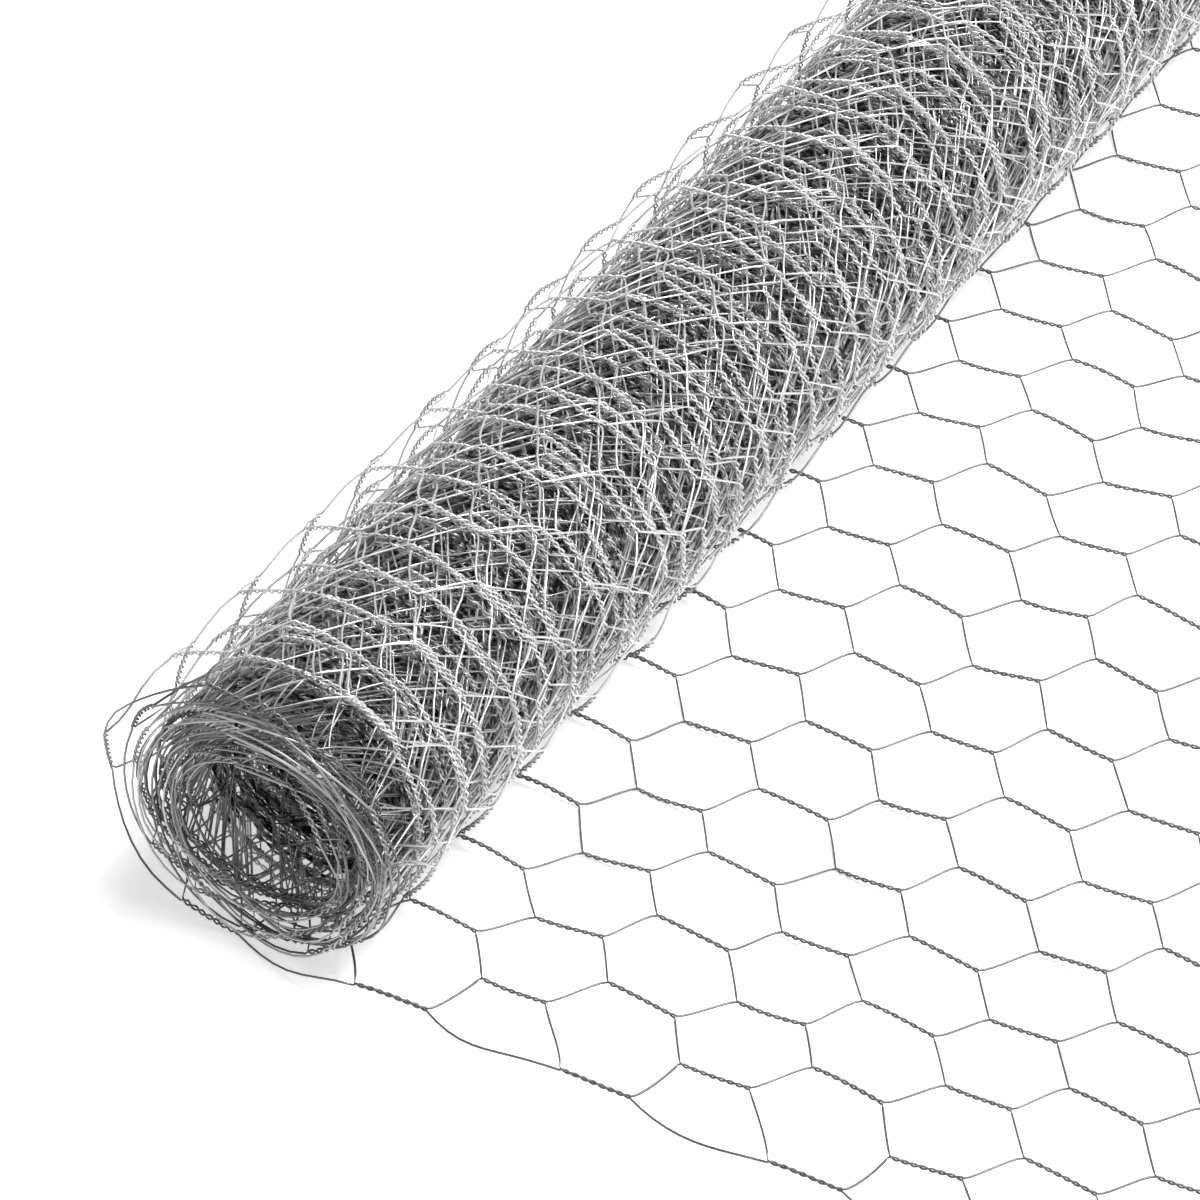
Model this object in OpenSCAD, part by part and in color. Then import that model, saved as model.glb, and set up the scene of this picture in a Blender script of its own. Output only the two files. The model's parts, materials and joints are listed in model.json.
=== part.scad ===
// Roll of hexagonal wire netting that lies on the floor with its free end unrolled.
// X runs along the netting, Y along the axis of the roll from front to back, Z up from the floor.

/* [Netting] */
// Distance between the two parallel twists of one mesh
mesh_size = 50; // [40:1:60]
// Distance from one twist to the next along the same line
mesh_repeat = 105.5; // [90:0.5:130]
// Length of one twist
twist_length = 36; // [25:1:42]
// Diameter of the wire
wire_d = 1; // [0.7:0.05:1.4]
// Number of meshes across the width
mesh_count = 18; // [8:1:20]
// Length of the whole netting, wound and unrolled
netting_length = 10000; // [6000:100:14000]
// Angle between a cross row of twists and the axis of the roll
row_lean = 3.4; // [0:0.1:6]

/* [Wound roll] */
// Outer diameter of the roll
roll_d = 139; // [120:1:180]
// Diameter of the bore
bore_d = 82; // [50:1:100]
// Number of turns pressed together in one bead of an end
turns_per_bead = 2; // [2:1:4]
// Depth of the groove between two beads
bead_depth = 0.8; // [0.2:0.1:2]

/* [Unrolled end] */
// Distance from the roll's axis to the cut edge, at the front selvage
end_reach = 482; // [300:1:520]
// Distance from the roll's axis to the start of a twist of the front selvage
first_twist = 48.5; // [0:0.5:105]
// Gap between the wires and the roll above them, where the end comes out
seat_gap = 0.3; // [0.1:0.1:1]

/* [Hidden] */

roll_r = roll_d / 2;
bore_r = bore_d / 2;
width = mesh_count * mesh_size;
last_line = 2 * mesh_count;

// Turns of the wound stretch, and the beads that they make between bore and outside
mean_turn = PI * (roll_r + bore_r);
turns = round((netting_length - end_reach) / mean_turn);
beads = ceil(turns / turns_per_bead);
bead_pitch = (roll_r - bore_r) / beads;

// A twist is two wires round each other, drawn as a six-sided bar that lies on a flat
twist_d = 2 * wire_d;
twist_h = twist_d * cos(30);

// The wires come out from under the roll where its underside has risen clear of them
rise = twist_h + seat_gap;
start_x = sqrt(2 * roll_r * rise - rise * rise);
lean = tan(row_lean);

// Twists stand at half repeats: on even lines at even columns, on odd lines at odd ones
first_column = floor((start_x - first_twist) / (mesh_repeat / 2)) - 2;
last_column = ceil((end_reach - first_twist + lean * width) / (mesh_repeat / 2)) + 1;

function line_y(line) = line * mesh_size / 2;
function twist_x(column, line) = first_twist + column * mesh_repeat / 2 - lean * line_y(line);
function end_x(y) = end_reach - lean * y;
function even(number) = number % 2 == 0;
function leaned(p) = [p.x - lean * p.y, p.y];

// Corner b of a counter-clockwise outline a-b-c, moved inwards by d from both its sides
function unit(v) = v / norm(v);
function left_of(v) = [-v.y, v.x];
function inset_corner(a, b, c, d) =
    let (m = left_of(unit(b - a)), n = left_of(unit(c - b)))
    b + d * (m + n) / (1 + m * n);
function inset(outline, d) =
    let (count = len(outline))
    [for (i = [0:count - 1])
        inset_corner(outline[(i + count - 1) % count], outline[i], outline[(i + 1) % count], d)];

// The six corners of a mesh, seen from the start of its two twists and midway between them
mesh_left = [twist_length - mesh_repeat / 2, 0];
mesh_right = [mesh_repeat / 2, 0];
mesh_front = [leaned([0, -mesh_size / 2]), leaned([twist_length, -mesh_size / 2])];
mesh_back = [leaned([twist_length, mesh_size / 2]), leaned([0, mesh_size / 2])];
whole_mesh = concat([mesh_left], mesh_front, [mesh_right], mesh_back);
front_half_mesh = concat([mesh_left, mesh_right], mesh_back);
back_half_mesh = concat([mesh_left], mesh_front, [mesh_right]);

function mesh_outline(line) =
    line == 0 ? front_half_mesh : line == last_line ? back_half_mesh : whole_mesh;

// The footprint of roll and unrolled end is centred on the origin
module on_footprint() {
    translate([(roll_r - end_reach) / 2, -width / 2, 0]) children();
}

// Half of the roll's cut outline: radius outwards, width upwards, one peak for each bead
function end_beads(face_y, valley_y) =
    [for (i = [0:2 * beads]) [bore_r + i * bead_pitch / 2, even(i) ? valley_y : face_y]];

module wound_roll() {
    front = end_beads(0, bead_depth);
    back = end_beads(width, width - bead_depth);
    back_inwards = [for (i = [len(back) - 1:-1:0]) back[i]];
    color("darkgray")
        on_footprint()
            translate([0, 0, roll_r])
                rotate([-90, 0, 0])
                    rotate_extrude($fn = 180)
                        polygon(concat(front, back_inwards));
}

// A twisted pair of wires along X, from one place to another on a line across the netting
module twisted_bar(from_x, to_x, y) {
    translate([from_x, y, twist_h / 2])
        rotate([0, 90, 0])
            rotate(30)
                cylinder(d = twist_d, h = to_x - from_x, $fn = 6);
}

// The single wires: a thin sheet with every mesh cut out of it
module single_wires() {
    edge = wire_d / 2;
    translate([0, 0, (twist_h - wire_d) / 2])
        linear_extrude(height = wire_d)
            difference() {
                polygon([
                    [start_x, -edge],
                    [end_x(-edge), -edge],
                    [end_x(width + edge), width + edge],
                    [start_x, width + edge]
                ]);
                for (line = [0:last_line], column = [first_column:last_column])
                    if (!even(line + column))
                        translate([twist_x(column, line), line_y(line)])
                            polygon(inset(mesh_outline(line), edge));
            }
}

module unrolled_end() {
    color("silver")
        on_footprint()
            union() {
                single_wires();
                for (y = [0, width])
                    twisted_bar(start_x, end_x(y), y);
                for (line = [1:last_line - 1], column = [first_column:last_column]) {
                    from_x = max(start_x, twist_x(column, line));
                    to_x = min(end_x(line_y(line)), twist_x(column, line) + twist_length);
                    if (even(line + column) && to_x - from_x > wire_d)
                        twisted_bar(from_x, to_x, line_y(line));
                }
            }
}

wound_roll();
unrolled_end();
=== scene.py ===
# %% [markdown]
# # A roll of chicken wire
# The real object is one long strip of hexagonal netting, woven from thin galvanised wire and wound on
# itself. Its free end lies unrolled on the floor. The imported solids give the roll, its bore and the reach
# of the free end. This lesson weaves the netting wire by wire around those sizes.

# %% Load the frame
import json
import math

import bmesh
import bpy
import numpy as np
from mathutils import Matrix, Vector


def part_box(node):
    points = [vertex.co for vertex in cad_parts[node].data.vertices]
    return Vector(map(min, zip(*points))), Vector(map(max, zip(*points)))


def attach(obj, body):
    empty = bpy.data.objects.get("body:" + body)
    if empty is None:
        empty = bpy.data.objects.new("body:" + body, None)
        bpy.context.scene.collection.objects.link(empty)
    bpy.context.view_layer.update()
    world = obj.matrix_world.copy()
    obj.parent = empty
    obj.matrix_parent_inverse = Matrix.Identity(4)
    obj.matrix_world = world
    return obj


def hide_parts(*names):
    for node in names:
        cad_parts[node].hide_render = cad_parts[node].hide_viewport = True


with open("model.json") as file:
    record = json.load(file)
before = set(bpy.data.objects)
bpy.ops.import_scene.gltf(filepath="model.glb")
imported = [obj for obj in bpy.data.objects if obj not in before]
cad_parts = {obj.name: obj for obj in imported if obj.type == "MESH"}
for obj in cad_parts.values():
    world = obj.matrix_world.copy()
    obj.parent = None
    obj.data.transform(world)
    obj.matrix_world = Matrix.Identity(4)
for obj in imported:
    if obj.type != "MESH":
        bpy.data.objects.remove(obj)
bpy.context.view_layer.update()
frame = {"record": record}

MM = 0.001
roll_low, roll_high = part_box("wound_roll")
_, end_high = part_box("unrolled_end")
bore_mount = frame["record"]["mounts"][0]

roll_radius = (roll_high.x - roll_low.x) / 2
roll_axis_x = (roll_high.x + roll_low.x) / 2
roll_axis_z = roll_radius
bore_radius = bore_mount["dims"]["r_mm"] * MM
front_y = roll_low.y
width = roll_high.y - roll_low.y
end_reach = end_high.x - roll_axis_x
print(f"roll {2 * roll_radius:.3f} m across, bore {2 * bore_radius:.3f} m, {width:.3f} m wide")

# %% [markdown]
# ## The camera
# The camera looks from the side of the free end, high above the floor and far off, so the roll hardly
# tapers. Its place was found by matching the meshes that lie on the floor and the roll's round front end.
# It is given from the point on the floor under the middle of that front end.

# %% Camera
camera_azimuth = math.radians(31.35)
camera_elevation = math.radians(41.25)
camera_from_front = Vector((1110.5, -1530.2, 1859.4)) * MM
camera_lens_mm = 175.1

camera_data = bpy.data.cameras.new("camera")
camera_data.sensor_width = 36
camera_data.lens = camera_lens_mm
camera_data.clip_end = 50
camera = bpy.data.objects.new("camera", camera_data)
camera.location = Vector((roll_axis_x, front_y, 0)) + camera_from_front
camera.rotation_euler = (math.pi / 2 - camera_elevation, 0, camera_azimuth)
bpy.context.scene.collection.objects.link(camera)
bpy.context.scene.camera = camera
print("camera at", [round(c, 3) for c in camera.location])

# %% [markdown]
# ## The weave
# Two neighbouring wires twist round each other a few times, part, and twist with their other neighbours,
# and so the meshes become hexagons. Twists stand on lines along the netting, half a mesh apart, and the
# twists of one line sit midway between those of the next. All lengths are in metres, measured on the flat
# netting: u along it from the roll's axis, v across it from the front edge, w away from the roll's axis.
# Wound netting buckles a little, so it takes up less length than flat netting: the share called gather.

# %% Sizes of the weave
mesh_size = 50 * MM
mesh_repeat = 105.5 * MM
twist_length = 36 * MM
wire_radius = 0.56 * MM
tight_twist = 0.68 * MM
loose_twist = 0.92 * MM
first_twist = 48.5 * MM
row_lean = math.tan(math.radians(3.4))
netting_length = 10.0

line_gap = mesh_size / 2
column_gap = mesh_repeat / 2
line_count = round(width / line_gap)
gather = 0.93
wound_length = gather * (netting_length - end_reach)
last_column = math.floor((end_reach - first_twist) / column_gap)
first_column = math.ceil((-wound_length / gather - first_twist) / column_gap)
stub_length = end_reach - first_twist - last_column * column_gap
print(f"columns {first_column} to {last_column}, lines 0 to {line_count}")
print(f"cut stubs {stub_length / MM:.1f} mm long")

# %% [markdown]
# ## One wire of one mesh
# A wire enters a twist, winds round the twist's axis and then runs single to the next twist. Sweeping a
# curve would do, but a spin that also moves along its axis makes the winding part at once: a ring of the
# wire's section turns round the axis and steps forward. The single part is the same ring extruded along a
# path. Towards the back the real wires leave in a soft S, and towards the front they bend sharply.

# %% Rings, twists and single runs
def section_ring(mesh, sides, centre, thick):
    """A ring of the wire's section at a place, square to the netting's length. Few sides get some extra
    radius, so that the wire looks as thick as a round one."""
    thickness = thick * wire_radius * math.sqrt(math.pi / sides / math.sin(math.pi / sides))
    upright = Matrix.Rotation(math.pi / 2, 4, "Y")
    made = bmesh.ops.create_circle(
        mesh, segments=sides, radius=thickness, matrix=Matrix.Translation(centre) @ upright)
    return list({edge for vert in made["verts"] for edge in vert.link_edges})


def wind_strand(mesh, ring, axis_start, axis_run, turns, steps):
    """Winds a ring round the twist's axis while it moves along it. Returns the last ring."""
    made = bmesh.ops.spin(
        mesh, geom=ring, cent=axis_start, axis=axis_run.normalized(), dvec=axis_run / steps,
        angle=2 * math.pi * turns, steps=steps, use_duplicate=False)
    return [part for part in made["geom_last"] if isinstance(part, bmesh.types.BMEdge)]


def extrude_along(mesh, ring, path, headings):
    """Carries a ring along a path, turned to the heading of each stop. Returns the last ring."""
    place, heading = path[0], 0.0
    for stop, new_heading in zip(path[1:], headings[1:]):
        made = bmesh.ops.extrude_edge_only(mesh, edges=ring)
        verts = [part for part in made["geom"] if isinstance(part, bmesh.types.BMVert)]
        ring = [part for part in made["geom"] if isinstance(part, bmesh.types.BMEdge)]
        ring = [edge for edge in ring if edge.verts[0] in verts and edge.verts[1] in verts]
        turn = Matrix.Rotation(new_heading - heading, 3, "Z")
        bmesh.ops.rotate(mesh, verts=verts, cent=place, matrix=turn)
        bmesh.ops.translate(mesh, verts=verts, vec=stop - place)
        place, heading = stop, new_heading
    return ring


def bezier_path(start, leave, arrive, stop, steps):
    """Stops along a curve with its two handles, and the heading of the path at each stop."""
    stops, headings = [], []
    for i in range(steps + 1):
        t = i / steps
        a, b, c, d = (1 - t) ** 3, 3 * t * (1 - t) ** 2, 3 * t * t * (1 - t), t ** 3
        stops.append(start * a + (start + leave) * b + (stop - arrive) * c + stop * d)
    for i in range(steps + 1):
        run = stops[min(i + 1, steps)] - stops[max(i - 1, 0)]
        headings.append(math.atan2(run.y, run.x))
    headings[0] = headings[-1] = 0.0
    return stops, headings


# %% [markdown]
# ## Patterns to repeat
# Each pattern is one wire of one mesh as plain arrays of points and faces. The free end is seen from close
# by, so its wires get more sides and steps than those in the middle of the roll, where only glimpses show.
# Wires with few sides are set further apart in their twists, so that they still read as two wires.

# %% Patterns of the meshes
along_twist = Vector((twist_length, 0, 0))
soft_handle = Vector((3.6, 1, 0)) * MM
sharp_handle = Vector((2, -2.6, 0)) * MM


def as_arrays(mesh):
    """Points and four-sided faces of a bmesh, which is then freed."""
    mesh.verts.index_update()
    points = np.array([vert.co[:] for vert in mesh.verts])
    faces = np.array([[vert.index for vert in face.verts] for face in mesh.faces])
    mesh.free()
    return points, faces


def mirrored(pattern):
    """The same pattern for the netting's other half, turned over so that it winds the same way."""
    points, faces = pattern
    return points * [1, -1, -1], faces


def twist_offset(phase, twist_radius):
    """From the axis of a twist to one of its wires."""
    return Vector((0, twist_radius * math.cos(phase), twist_radius * math.sin(phase)))


def strand(axis_start, axis_run, phase, run, twist_radius, sides, turns, steps, run_steps, thick=1):
    """A wire that winds along a twist and then follows a run: where it ends and its two handles."""
    mesh = bmesh.new()
    start = axis_start + twist_offset(phase, twist_radius)
    ring = section_ring(mesh, sides, start, thick)
    ring = wind_strand(mesh, ring, axis_start, axis_run, turns, math.ceil(steps * turns))
    if run is not None:
        stop, leave, arrive = run
        path, headings = bezier_path(start + axis_run, leave, arrive, stop, run_steps)
        extrude_along(mesh, ring, path, headings)
    return as_arrays(mesh)


def inner_wire(side, **detail):
    """The wire on one side of a twist (1 towards the back, -1 towards the front), with its single run to
    the twist half a repeat on and one line over."""
    stop = Vector((column_gap, side * (line_gap - detail["twist_radius"]), 0))
    handle = soft_handle if side > 0 else sharp_handle
    phase = math.pi / 2 - side * math.pi / 2
    return strand(Vector(), along_twist, phase, (stop, handle, handle), **detail)


# %% [markdown]
# ## Patterns of the edges
# The meshes along the edges are wider than the others, and their twists slant, because an edge wire pulls
# them outwards. They could be bent from the other meshes, but the same strand makes them at once, with
# other places for its twist and other handles for its run.

# %% Patterns of the edges
edge_start = Vector((10, -12, 0)) * MM
edge_stop = Vector((43.5, -5.5, 0)) * MM
edge_twist = edge_stop - edge_start
print(f"edge twists {edge_twist.length / MM:.1f} mm long, inner ones {twist_length / MM:.1f} mm")


def wire_to_edge(**detail):
    """The wire of the first line whose run goes to an edge twist."""
    stop = Vector((column_gap, -line_gap, 0)) + edge_start + twist_offset(0, detail["twist_radius"])
    leave, arrive = Vector((9, -10.5, 0)) * MM, Vector((4.5, -11, 0)) * MM
    return strand(Vector(), along_twist, math.pi, (stop, leave, arrive), **detail)


def wire_from_edge(**detail):
    """The netting's outermost wire: through an edge twist and back to the first line."""
    stop = Vector((column_gap, line_gap - detail["twist_radius"], 0))
    leave, arrive = Vector((4, 3, 0)) * MM, Vector((0.5, 8, 0)) * MM
    return strand(edge_start, edge_twist, 0, (stop, leave, arrive), **detail)


def edge_wire(bulge, **detail):
    """The wire of the edge: through the outer side of an edge twist and in one bow to the next."""
    phase = math.pi
    stop = edge_start + twist_offset(phase, detail["twist_radius"]) + Vector((mesh_repeat, 0, 0))
    leave, arrive = Vector((23 * MM, -bulge, 0)), Vector((23.5 * MM, 0.6 * bulge, 0))
    return strand(edge_start, edge_twist, phase, (stop, leave, arrive), **detail)


# %% [markdown]
# ## Winding the flat netting
# The wound part follows a spiral. At the free end the netting runs on flat from the lowest point of the
# roll, under which it came out, and going the other way it passes the left side, the top and the right
# side, one turn after another, into the bore. Turns lie closer together at the outside and at the bore than
# between. The outermost one is slack: it stands off the others on the left and low down on the right, and
# the next one stands off a little on the left. A table of arc length against angle turns a place along the
# netting into an angle.

# %% The spiral
def smooth_step(value, low, high):
    """Rises gently from 0 at the low value to 1 at the high one."""
    share = np.clip((value - low) / (high - low), 0, 1)
    return share * share * (3 - 2 * share)


outer_line = roll_radius - 2 * wire_radius
inner_line = bore_radius + 2 * wire_radius
wall = outer_line - inner_line
tightness = 0.55
turns_wound = wound_length / (math.pi * (outer_line + inner_line))

slack_angles = np.radians(
    [0, 12, 40, 70, 95, 121, 150, 200, 270, 318, 350, 380, 430, 455, 481, 510, 560])
slack_heights = np.array(
    [0, 0, 0.5, 7, 11.5, 13.5, 9, 3.5, 2, 3.5, 1.5, 0, 2.2, 4, 4.5, 3, 0]) * MM

angle_count = 20000
angle_steps = np.linspace(0, 2 * math.pi * (turns_wound + 1), angle_count)
wound_share = angle_steps / (2 * math.pi * turns_wound)
depth_share = tightness * wound_share + (1 - tightness) * smooth_step(wound_share, 0, 1)
radius_steps = outer_line - wall * depth_share
radius_steps += np.interp(angle_steps, slack_angles, slack_heights)
arc_steps = np.concatenate(
    [[0], np.cumsum((radius_steps[1:] + radius_steps[:-1]) / 2 * np.diff(angle_steps))])
print(f"{turns_wound:.1f} turns, {tightness * wall / turns_wound / MM:.2f} mm apart at the outside")

# %% [markdown]
# ## Uneven netting
# No two meshes of real netting are quite alike, and each turn lies a little to one side of the last. A
# wandering made of a few long waves moves the wires together, so they stay joined. Moving every point by
# chance would be shorter, but would tear the wires and roughen them.

# %% Wandering
def wandering(seed, shortest, longest, spread, count=14):
    """A smooth wandering over the flat netting, as a function of u and v."""
    draw = np.random.default_rng(seed)
    lengths = draw.uniform(shortest, longest, count)
    headings = draw.uniform(0, 2 * math.pi, count)
    phases = draw.uniform(0, 2 * math.pi, count)

    def moved(u, v):
        total = np.zeros_like(u)
        for length, heading, phase in zip(lengths, headings, phases):
            along = u * math.cos(heading) + v * math.sin(heading)
            total += np.sin(2 * math.pi * along / length + phase)
        return spread * math.sqrt(2 / count) * total
    return moved


small_along = wandering(1, 60 * MM, 160 * MM, 0.8 * MM)
small_across = wandering(2, 60 * MM, 160 * MM, 0.8 * MM)
shift_along = wandering(3, 350 * MM, 1100 * MM, 12 * MM)
shift_across = wandering(4, 250 * MM, 800 * MM, 7 * MM)
edge_across = wandering(5, 90 * MM, 420 * MM, 3.2 * MM)
edge_thickness = wandering(7, 110 * MM, 320 * MM, 1.4 * MM)
thickness_wander = wandering(6, 40 * MM, 200 * MM, 0.8 * MM)

places_along = np.linspace(-wound_length, 0, 2000)
edge_wander = np.ptp(edge_across(places_along, np.zeros_like(places_along)))
print(f"the front edge wanders within {edge_wander / MM:.1f} mm")

# %% [markdown]
# ## How the netting lies
# Nothing holds the slack turn down, so its meshes buckle in and out. The free end rises in low waves: one
# with each mesh, from the set that winding gave the wires, and a longer one across it. The two edges are
# drawn in a little where the netting is wound. One function takes any point of the flat netting to its
# place, so pieces that meet there also meet on the roll.

# %% Winding up
slack_wave = 1.8 * MM
mesh_wave = 2.7 * MM
long_wave = 5.3 * MM
long_wave_peak = 424 * MM
long_wave_length = 493 * MM
end_height = 8.5 * MM
end_rise = 0.01
level_at = 100 * MM
lift_run = 60 * MM
first_pull = 6 * MM
further_pull = 8 * MM
edge_share = 0.2
edge_zone = 90 * MM
floor_clearance = 0.3 * wire_radius


def lie_of_end(u, s, v):
    """Height of the free end's middle above the floor."""
    waves = mesh_wave * np.cos(2 * math.pi * (u - first_twist) / mesh_repeat)
    waves += long_wave * np.cos(2 * math.pi * (v - long_wave_peak) / long_wave_length)
    raised = end_height + waves + end_rise * (s - level_at)
    raised = np.maximum(raised, 2 * wire_radius)
    return 2 * wire_radius + (raised - 2 * wire_radius) * smooth_step(s, 0, lift_run)


def wind_up(points):
    """Takes points from the flat netting to their place on the roll or on the floor."""
    u, v, w = points.T
    wound = smooth_step(-u, 0, 300 * MM)
    loose = smooth_step(-u, 100 * MM, 800 * MM)
    inside = smooth_step(np.minimum(v, width - v), 0, edge_zone)
    pulled_in = first_pull * smooth_step(-u, -60 * MM, 60 * MM)
    pulled_in += further_pull * smooth_step(-u, 150 * MM, 430 * MM)
    along = small_along(u, v) + loose * shift_along(u, v)
    across = small_across(u, v)
    across += loose * (edge_share + (1 - edge_share) * inside) * shift_across(u, v)
    across += wound * (1 - inside) * edge_across(u, v) + pulled_in * (1 - 2 * v / width)
    s = np.where(u < 0, gather * u, u) + along - row_lean * v
    w = w + wound * (thickness_wander(u, v) + (1 - inside) * edge_thickness(u, v))
    slack = slack_wave * smooth_step(-u, 0, 60 * MM) * (1 - smooth_step(-u, 400 * MM, 500 * MM))
    w -= slack * np.cos(math.pi * (u - first_twist) / column_gap) * np.cos(math.pi * v / line_gap)
    v = v + across

    angle = np.interp(-s, arc_steps, angle_steps)
    radius = np.interp(angle, angle_steps, radius_steps) + w
    on_floor = s > 0
    x = np.where(on_floor, s, -radius * np.sin(angle))
    z = np.where(on_floor, lie_of_end(u, s, v) - w, roll_axis_z - radius * np.cos(angle))
    z = np.maximum(z, floor_clearance)
    return np.stack([roll_axis_x + x, front_y + v, z], axis=1)


end_u, end_v = np.meshgrid(np.linspace(0, end_reach, 60), np.linspace(0, width, 60))
print(f"the free end rises to {lie_of_end(end_u, end_u, end_v).max() / MM:.1f} mm")

# %% [markdown]
# ## Repeating and joining
# Thousands of wires as objects of their own would be slow, so each stretch of netting is one mesh. The
# pattern is copied to every twist of the stretch with arrays, wound up, and built as a mesh. Ends that meet
# are then merged, so a wire runs on through all its twists, and the cut ends are closed.

# %% Repeating and joining
def repeat(pattern, places):
    """One pattern at many places on the flat netting."""
    points, faces = pattern
    moved = (points[None, :, :] + places[:, None, :]).reshape(-1, 3)
    numbered = faces[None, :, :] + (np.arange(len(places)) * len(points))[:, None, None]
    return moved, numbered.reshape(-1, 4)


def join(parts):
    """Several arrays of points and faces as one."""
    points, faces, count = [], [], 0
    for part_points, part_faces in parts:
        points.append(part_points)
        faces.append(part_faces + count)
        count += len(part_points)
    return np.concatenate(points), np.concatenate(faces)


def twist_places(columns, lines):
    """Where the twists of some columns start, on the lines that have one there."""
    spots = [(first_twist + k * column_gap, j * line_gap, 0)
             for k in columns for j in lines if (k + j) % 2 == 0]
    return np.array(spots).reshape(-1, 3)


twists_of_line = len(twist_places(range(first_column, last_column), [1]))
print(f"{twists_of_line} twists on a line")

# %% [markdown]
# ## Painted shade
# The free end, the roll's right side low down, the edges and the turns deep in the roll are painted darker
# than the turns on top, as painted shade. A painted map would need every wire laid out flat, so each point
# keeps one number instead, worked out on the flat netting, and the finish reads it.

# %% Painted shade
recess_depth = 4 * MM
# Strengths of the painted shade along the edges, where a turn stands back, behind the edges and deep
# inside.
edge_shade, recess_shade = 0.85, 0.45
behind_shade, deep_shade = 0.65, 0.75


def painted_shade_amount(points):
    """How much painted shade each point gets, from 0 to 1: on the free end, low down on the right of the
    roll, along both edges, most where a turn stands back there, just behind them on the deeper turns, and
    deep inside."""
    u, v, _ = points.T
    from_edge = np.minimum(v, width - v)
    # Painted shade on the free end, darkening its wires as if they mirrored darker surroundings.
    free_end = smooth_step(u, -180 * MM, -20 * MM)
    # Painted shadow low down on the right of the roll, where the roll shades its own side.
    around = row_lean * v / gather - u
    low_side = smooth_step(around, 385 * MM, 425 * MM) * (1 - smooth_step(around, 500 * MM, 540 * MM))
    # Painted shade along both edges, strongest where a turn stands back.
    inwards = np.where(v < width / 2, 1, -1)
    recess = np.clip(inwards * edge_across(u, v) / recess_depth, -1, 1)
    edges = np.minimum(edge_shade + recess_shade * recess, 1)
    edges *= 1 - smooth_step(from_edge, 5 * MM, 25 * MM)
    # Painted shade on the deeper turns just behind the edges.
    behind = behind_shade * smooth_step(-u, 2.5, 4.5)
    behind *= smooth_step(from_edge, -6 * MM, 2 * MM) * (1 - smooth_step(from_edge, 15 * MM, 40 * MM))
    # Painted shade deep inside the roll and on the turns that line the bore.
    deep = deep_shade * smooth_step(-u, 6.5, 8.5)
    return np.max([free_end, low_side, edges, behind, deep], axis=0)


# %% [markdown]
# ## From arrays to a piece
# A piece is one mesh that rides on the body and stands for a solid. The arrays go into the mesh in one go,
# because that is quick. A bmesh then does what needs neighbours: it merges the ends that meet, closes the
# cut ends and turns all faces outwards.

# %% Building a piece
weld_gap = 0.01 * MM
most_sides = 12


def build_piece(name, parts, node):
    """Winds the joined parts up and makes one piece of them, which stands for a node."""
    points, faces = join(parts)
    data = bpy.data.meshes.new(name)
    data.vertices.add(len(points))
    data.vertices.foreach_set("co", wind_up(points).astype(np.float32).ravel())
    data.loops.add(faces.size)
    data.loops.foreach_set("vertex_index", faces.astype(np.int32).ravel())
    data.polygons.add(len(faces))
    data.polygons.foreach_set("loop_start", np.arange(0, faces.size, 4, dtype=np.int32))
    data.update(calc_edges=True)
    # Each point keeps its share of painted shade for the finish.
    painted_shade = data.attributes.new("painted_shade", "FLOAT", "POINT")
    painted_shade.data.foreach_set("value", painted_shade_amount(points).astype(np.float32))

    mesh = bmesh.new()
    mesh.from_mesh(data)
    bmesh.ops.remove_doubles(mesh, verts=mesh.verts, dist=weld_gap)
    open_edges = [edge for edge in mesh.edges if edge.is_boundary]
    bmesh.ops.holes_fill(mesh, edges=open_edges, sides=most_sides)
    bmesh.ops.recalc_face_normals(mesh, faces=mesh.faces)
    for face in mesh.faces:
        face.smooth = True
    mesh.to_mesh(data)
    mesh.free()

    piece = bpy.data.objects.new(name, data)
    bpy.context.scene.collection.objects.link(piece)
    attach(piece, "root")
    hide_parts(node)
    triangles = sum(len(face.vertices) - 2 for face in data.polygons)
    print(f"{name}: {triangles} triangles")
    return piece


# %% [markdown]
# ## The stretches of netting
# The free end comes first, then the slack outermost turn, the next few turns, the hidden middle and last
# the turns that line the bore. A stretch is a range of columns, and its pattern has the detail that shows.
# The middle turns are only glimpsed between the others. They get three simple layers of thicker wire, which
# close the gaps as the crumpled meshes of a real roll do.

# %% Layers and stretches
def lay(part, along, pulled_in, outwards):
    """One layer of a part, moved along, away from both edges and outwards."""
    points, faces = part
    moved = points + [along, 0, outwards]
    moved[:, 1] += pulled_in * (1 - 2 * points[:, 1] / width)
    return moved, faces


def netting(name, columns, node, layers=((0, 0, 0),), **detail):
    """A stretch of netting without its two edge lines, once for each layer."""
    patterns = [
        (inner_wire(1, **detail), range(1, line_count - 1)),
        (inner_wire(-1, **detail), range(2, line_count)),
        (wire_to_edge(**detail), [1]),
        (mirrored(wire_to_edge(**detail)), [line_count - 1]),
    ]
    parts = [lay(repeat(pattern, twist_places(columns, lines)), *layer)
             for pattern, lines in patterns for layer in layers]
    return build_piece(name, parts, node)


def column_at(u):
    """The last column that starts before a place along the netting."""
    return math.floor((u - first_twist) / column_gap)


def turns_column(turns):
    """The column where the netting has gone round a number of turns, counted from the free end."""
    return column_at(-np.interp(2 * math.pi * turns, angle_steps, arc_steps) / gather)


# %% Netting
fine = dict(twist_radius=tight_twist, sides=6, turns=4, steps=7, run_steps=7)
near = dict(twist_radius=loose_twist, sides=5, turns=4, steps=6, run_steps=5)
plain = dict(twist_radius=loose_twist, sides=4, turns=4, steps=5, run_steps=3)
coarse = dict(twist_radius=loose_twist, sides=3, turns=4, steps=4, run_steps=2)
three_layers = [(0, 0, 0), (35 * MM, 6 * MM, 0.4 * MM), (70 * MM, 12 * MM, -0.4 * MM)]
hidden = dict(
    twist_radius=loose_twist, sides=3, turns=1, steps=3, run_steps=1, thick=1.25, layers=three_layers)
lining = dict(twist_radius=loose_twist, sides=4, turns=3, steps=4, run_steps=2, thick=1.3)

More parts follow.
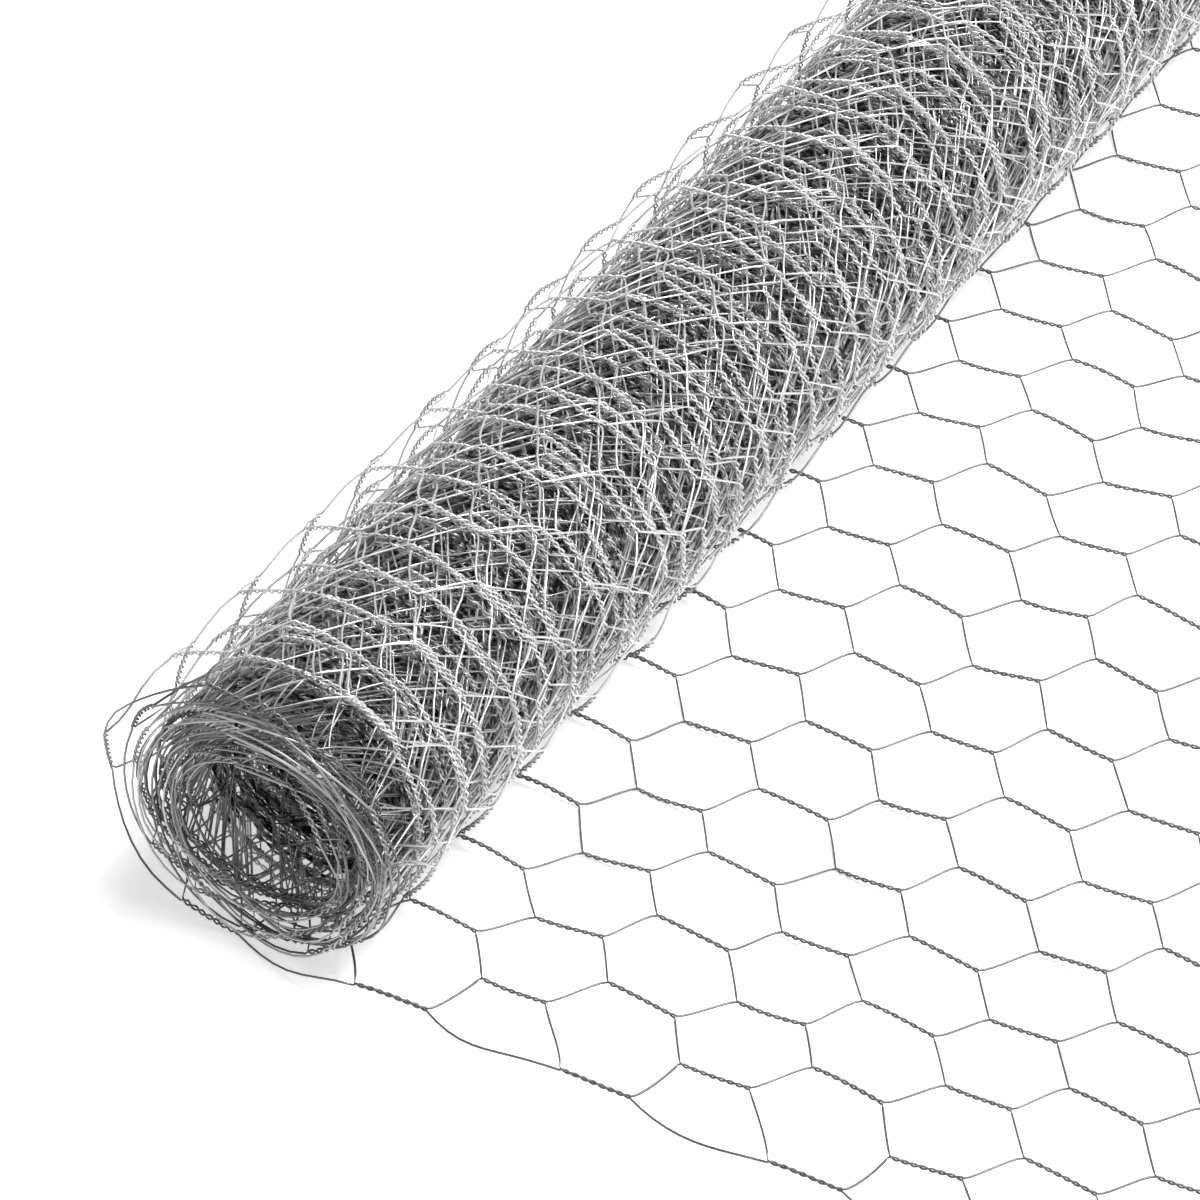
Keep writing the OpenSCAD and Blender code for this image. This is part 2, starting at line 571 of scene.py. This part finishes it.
floor_column = column_at(0)
floor_columns = range(floor_column, last_column)
lining_turns = 3
stretches = [
    ("slack_turn", 1, near),
    ("outer_turns_1", 3, plain),
    ("outer_turns_2", 5, plain),
    ("outer_turns_3", 9, coarse),
    ("middle_turns_1", 16, hidden),
    ("middle_turns_2", turns_wound - lining_turns, hidden),
]
pieces = [netting("unrolled_netting", floor_columns, "unrolled_end", **fine)]
newest = floor_column
for name, stop_turn, detail in stretches:
    oldest = turns_column(stop_turn)
    pieces.append(netting(name, range(oldest, newest), "wound_roll", **detail))
    newest = oldest
pieces.append(netting("bore_turns", range(first_column, newest), "wound_roll", **lining))

# %% [markdown]
# ## The edges and the cut end
# Along both edges the outermost wire twists with an edge wire. It runs in bows from one edge twist to the
# next and stops the netting from fraying. On the roll the bows are pulled nearly straight, and show as the
# rings of its ends. The free end is cut through a row of twists.

# %% Edges and cut end
flat_bulge = 9.5 * MM
wound_bulge = 4 * MM


def edge_parts(line, columns, bulge, **detail):
    """The edge wire of a stretch, with the netting's own wire that twists with it."""
    wires = [wire_from_edge(**detail), edge_wire(bulge, **detail)]
    if line > 0:
        wires = [mirrored(wire) for wire in wires]
    return [repeat(wire, twist_places(columns, [line])) for wire in wires]


def cut_ends(**detail):
    """The wires of the last column, cut off soon after their twists begin."""
    detail["turns"] *= stub_length / twist_length
    stub_run = Vector((stub_length, 0, 0))
    stubs = [strand(Vector(), stub_run, phase, None, **detail) for phase in (0, math.pi)]
    parts = [repeat(stub, twist_places([last_column], range(1, line_count))) for stub in stubs]
    for phase in (0, math.pi):
        edge_stub = strand(edge_start, stub_run / 2, phase, None, **detail)
        parts.append(repeat(edge_stub, twist_places([last_column], [0])))
        parts.append(repeat(mirrored(edge_stub), twist_places([last_column], [line_count])))
    return parts


edge_fine = dict(twist_radius=tight_twist, sides=6, turns=4, steps=7, run_steps=10, thick=1.1)
edge_plain = dict(twist_radius=loose_twist, sides=5, turns=4, steps=5, run_steps=8, thick=0.95)
wound_columns = range(first_column, floor_column)
flat_front = edge_parts(0, floor_columns, flat_bulge, **edge_fine)
flat_back = edge_parts(line_count, floor_columns, flat_bulge, **edge_fine)
wound_front = edge_parts(0, wound_columns, wound_bulge, **edge_plain)
wound_back = edge_parts(line_count, wound_columns, wound_bulge, **edge_plain)
pieces += [
    build_piece("unrolled_edges", flat_front + flat_back + cut_ends(**fine), "unrolled_end"),
    build_piece("front_edge", wound_front, "wound_roll"),
    build_piece("back_edge", wound_back, "wound_roll"),
]

# %% [markdown]
# ## Galvanised wire
# The wire is drawn steel with a skin of zinc: a soft grey metal, brighter where it was rubbed and duller
# where the zinc has weathered. Two noises on the object's own coordinates vary its colour and gloss, one
# about half a mesh long and one as fine as the wire, and a little bump gives the zinc its uneven skin.
# Where the stored painted shade is high, the colour is multiplied down to a dark grey, which paints the
# shade in.

# %% Material
grey_zinc = (0.68, 0.68, 0.675, 1)
bright_zinc = (0.92, 0.92, 0.91, 1)
# The dark grey that the painted shade multiplies into the colour.
shaded_zinc = (0.2, 0.2, 0.2, 1)


def galvanised():
    """Zinc in two greys, multiplied down by the painted shade, with uneven gloss and a little bump."""
    material = bpy.data.materials.new("galvanised_wire")
    material.use_nodes = True
    nodes, links = material.node_tree.nodes, material.node_tree.links
    shader = nodes["Principled BSDF"]
    shader.inputs["Metallic"].default_value = 0.55
    place = nodes.new("ShaderNodeTexCoord")

    patches = nodes.new("ShaderNodeTexNoise")
    patches.inputs["Scale"].default_value = 45
    patches.inputs["Detail"].default_value = 3
    grain = nodes.new("ShaderNodeTexNoise")
    grain.inputs["Scale"].default_value = 900
    grain.inputs["Detail"].default_value = 2
    for noise in (patches, grain):
        links.new(place.outputs["Object"], noise.inputs["Vector"])

    tones = nodes.new("ShaderNodeValToRGB")
    tones.color_ramp.elements[0].position = 0.3
    tones.color_ramp.elements[0].color = grey_zinc
    tones.color_ramp.elements[1].position = 0.7
    tones.color_ramp.elements[1].color = bright_zinc
    links.new(patches.outputs["Fac"], tones.inputs["Fac"])

    # Painted shade: the stored share multiplies the zinc's colour down to dark grey.
    painted_shade = nodes.new("ShaderNodeAttribute")
    painted_shade.attribute_name = "painted_shade"
    darker = nodes.new("ShaderNodeMix")
    darker.data_type = "RGBA"
    darker.blend_type = "MULTIPLY"
    darker.inputs["B"].default_value = shaded_zinc
    links.new(painted_shade.outputs["Fac"], darker.inputs["Factor"])
    links.new(tones.outputs["Color"], darker.inputs["A"])
    links.new(darker.outputs["Result"], shader.inputs["Base Color"])

    gloss = nodes.new("ShaderNodeMapRange")
    gloss.inputs["To Min"].default_value = 0.26
    gloss.inputs["To Max"].default_value = 0.42
    links.new(grain.outputs["Fac"], gloss.inputs["Value"])
    links.new(gloss.outputs["Result"], shader.inputs["Roughness"])

    skin = nodes.new("ShaderNodeBump")
    skin.inputs["Strength"].default_value = 0.25
    skin.inputs["Distance"].default_value = 0.1 * MM
    links.new(grain.outputs["Fac"], skin.inputs["Height"])
    links.new(skin.outputs["Normal"], shader.inputs["Normal"])
    return material


wire_finish = galvanised()
for piece in pieces:
    piece.data.materials.append(wire_finish)
print("finish on", len(pieces), "pieces")

# %% [markdown]
# ## The floor
# The floor is plain white and keeps a soft shadow. More light on it would make it whiter, but the wire too.
# So it also glows a little, only where it is seen, mirrored or not, and lights nothing by that glow.

# %% Floor
def any_sight(nodes, links):
    """1 for what the camera sees, directly, mirrored or through something, and 0 for what only lights."""
    ray = nodes.new("ShaderNodeLightPath")
    seen = ray.outputs["Is Camera Ray"]
    for kind in ("Is Glossy Ray", "Is Transmission Ray"):
        either = nodes.new("ShaderNodeMath")
        either.operation = "MAXIMUM"
        links.new(seen, either.inputs[0])
        links.new(ray.outputs[kind], either.inputs[1])
        seen = either.outputs["Value"]
    return seen


def white_floor():
    """Matt white that glows a little where it is seen."""
    material = bpy.data.materials.new("floor_white")
    material.use_nodes = True
    nodes, links = material.node_tree.nodes, material.node_tree.links
    shader = nodes["Principled BSDF"]
    shader.inputs["Base Color"].default_value = (0.93, 0.93, 0.93, 1)
    shader.inputs["Roughness"].default_value = 0.9
    shader.inputs["Specular IOR Level"].default_value = 0.1
    shader.inputs["Emission Color"].default_value = (1, 1, 1, 1)
    lift = nodes.new("ShaderNodeMath")
    lift.operation = "MULTIPLY"
    lift.inputs[1].default_value = 0.55
    links.new(any_sight(nodes, links), lift.inputs[0])
    links.new(lift.outputs["Value"], shader.inputs["Emission Strength"])
    return material


floor_reach = 12
floor_mesh = bmesh.new()
bmesh.ops.create_grid(floor_mesh, x_segments=1, y_segments=1, size=floor_reach)
floor_data = bpy.data.meshes.new("floor")
floor_mesh.to_mesh(floor_data)
floor_mesh.free()
floor_data.materials.append(white_floor())
floor = bpy.data.objects.new("floor", floor_data)
bpy.context.scene.collection.objects.link(floor)
print(f"floor reaches {floor_reach} m each way")

# %% [markdown]
# ## Light
# A broad lamp hangs over the free end, a weak one stands to the right, and a small one lights the roll's
# front end. Wire shows what it mirrors, so the lamps' places decide which runs of wire look light. The
# world lights little, but is paler where it is seen or mirrored.

# %% Lamps
def softbox(name, place, length, breadth, power):
    """A lamp aimed at the middle of the floor, with its length level."""
    lamp = bpy.data.lights.new(name, "AREA")
    lamp.shape = "RECTANGLE"
    lamp.size = length
    lamp.size_y = breadth
    lamp.energy = power
    holder = bpy.data.objects.new(name, lamp)
    holder.location = place
    holder.rotation_euler = Vector(place).to_track_quat("Z", "Y").to_euler()
    bpy.context.scene.collection.objects.link(holder)
    print(f"lamp {name}: {power} W")


softbox("overhead", place=(0.9, 0.5, 3.1), length=2.0, breadth=1.6, power=148)
softbox("right_side", place=(2.6, -0.2, 1.2), length=1.6, breadth=1.2, power=3)
softbox("front_end", place=(0.3, -2.5, 1.7), length=0.8, breadth=0.8, power=7)

# %% World
world_light, world_seen = 0.12, 0.35
world = bpy.data.worlds.new("studio")
world.use_nodes = True
backdrop = world.node_tree.nodes["Background"]
backdrop.inputs["Color"].default_value = (1, 1, 1, 1)
world_nodes, world_links = world.node_tree.nodes, world.node_tree.links
surround = world_nodes.new("ShaderNodeMapRange")
surround.inputs["To Min"].default_value = world_light
surround.inputs["To Max"].default_value = world_seen
world_links.new(any_sight(world_nodes, world_links), surround.inputs["Value"])
world_links.new(surround.outputs["Result"], backdrop.inputs["Strength"])
bpy.context.scene.world = world
bpy.context.scene.view_settings.view_transform = "Standard"
print(f"world lights with {world_light} and is seen at {world_seen}")
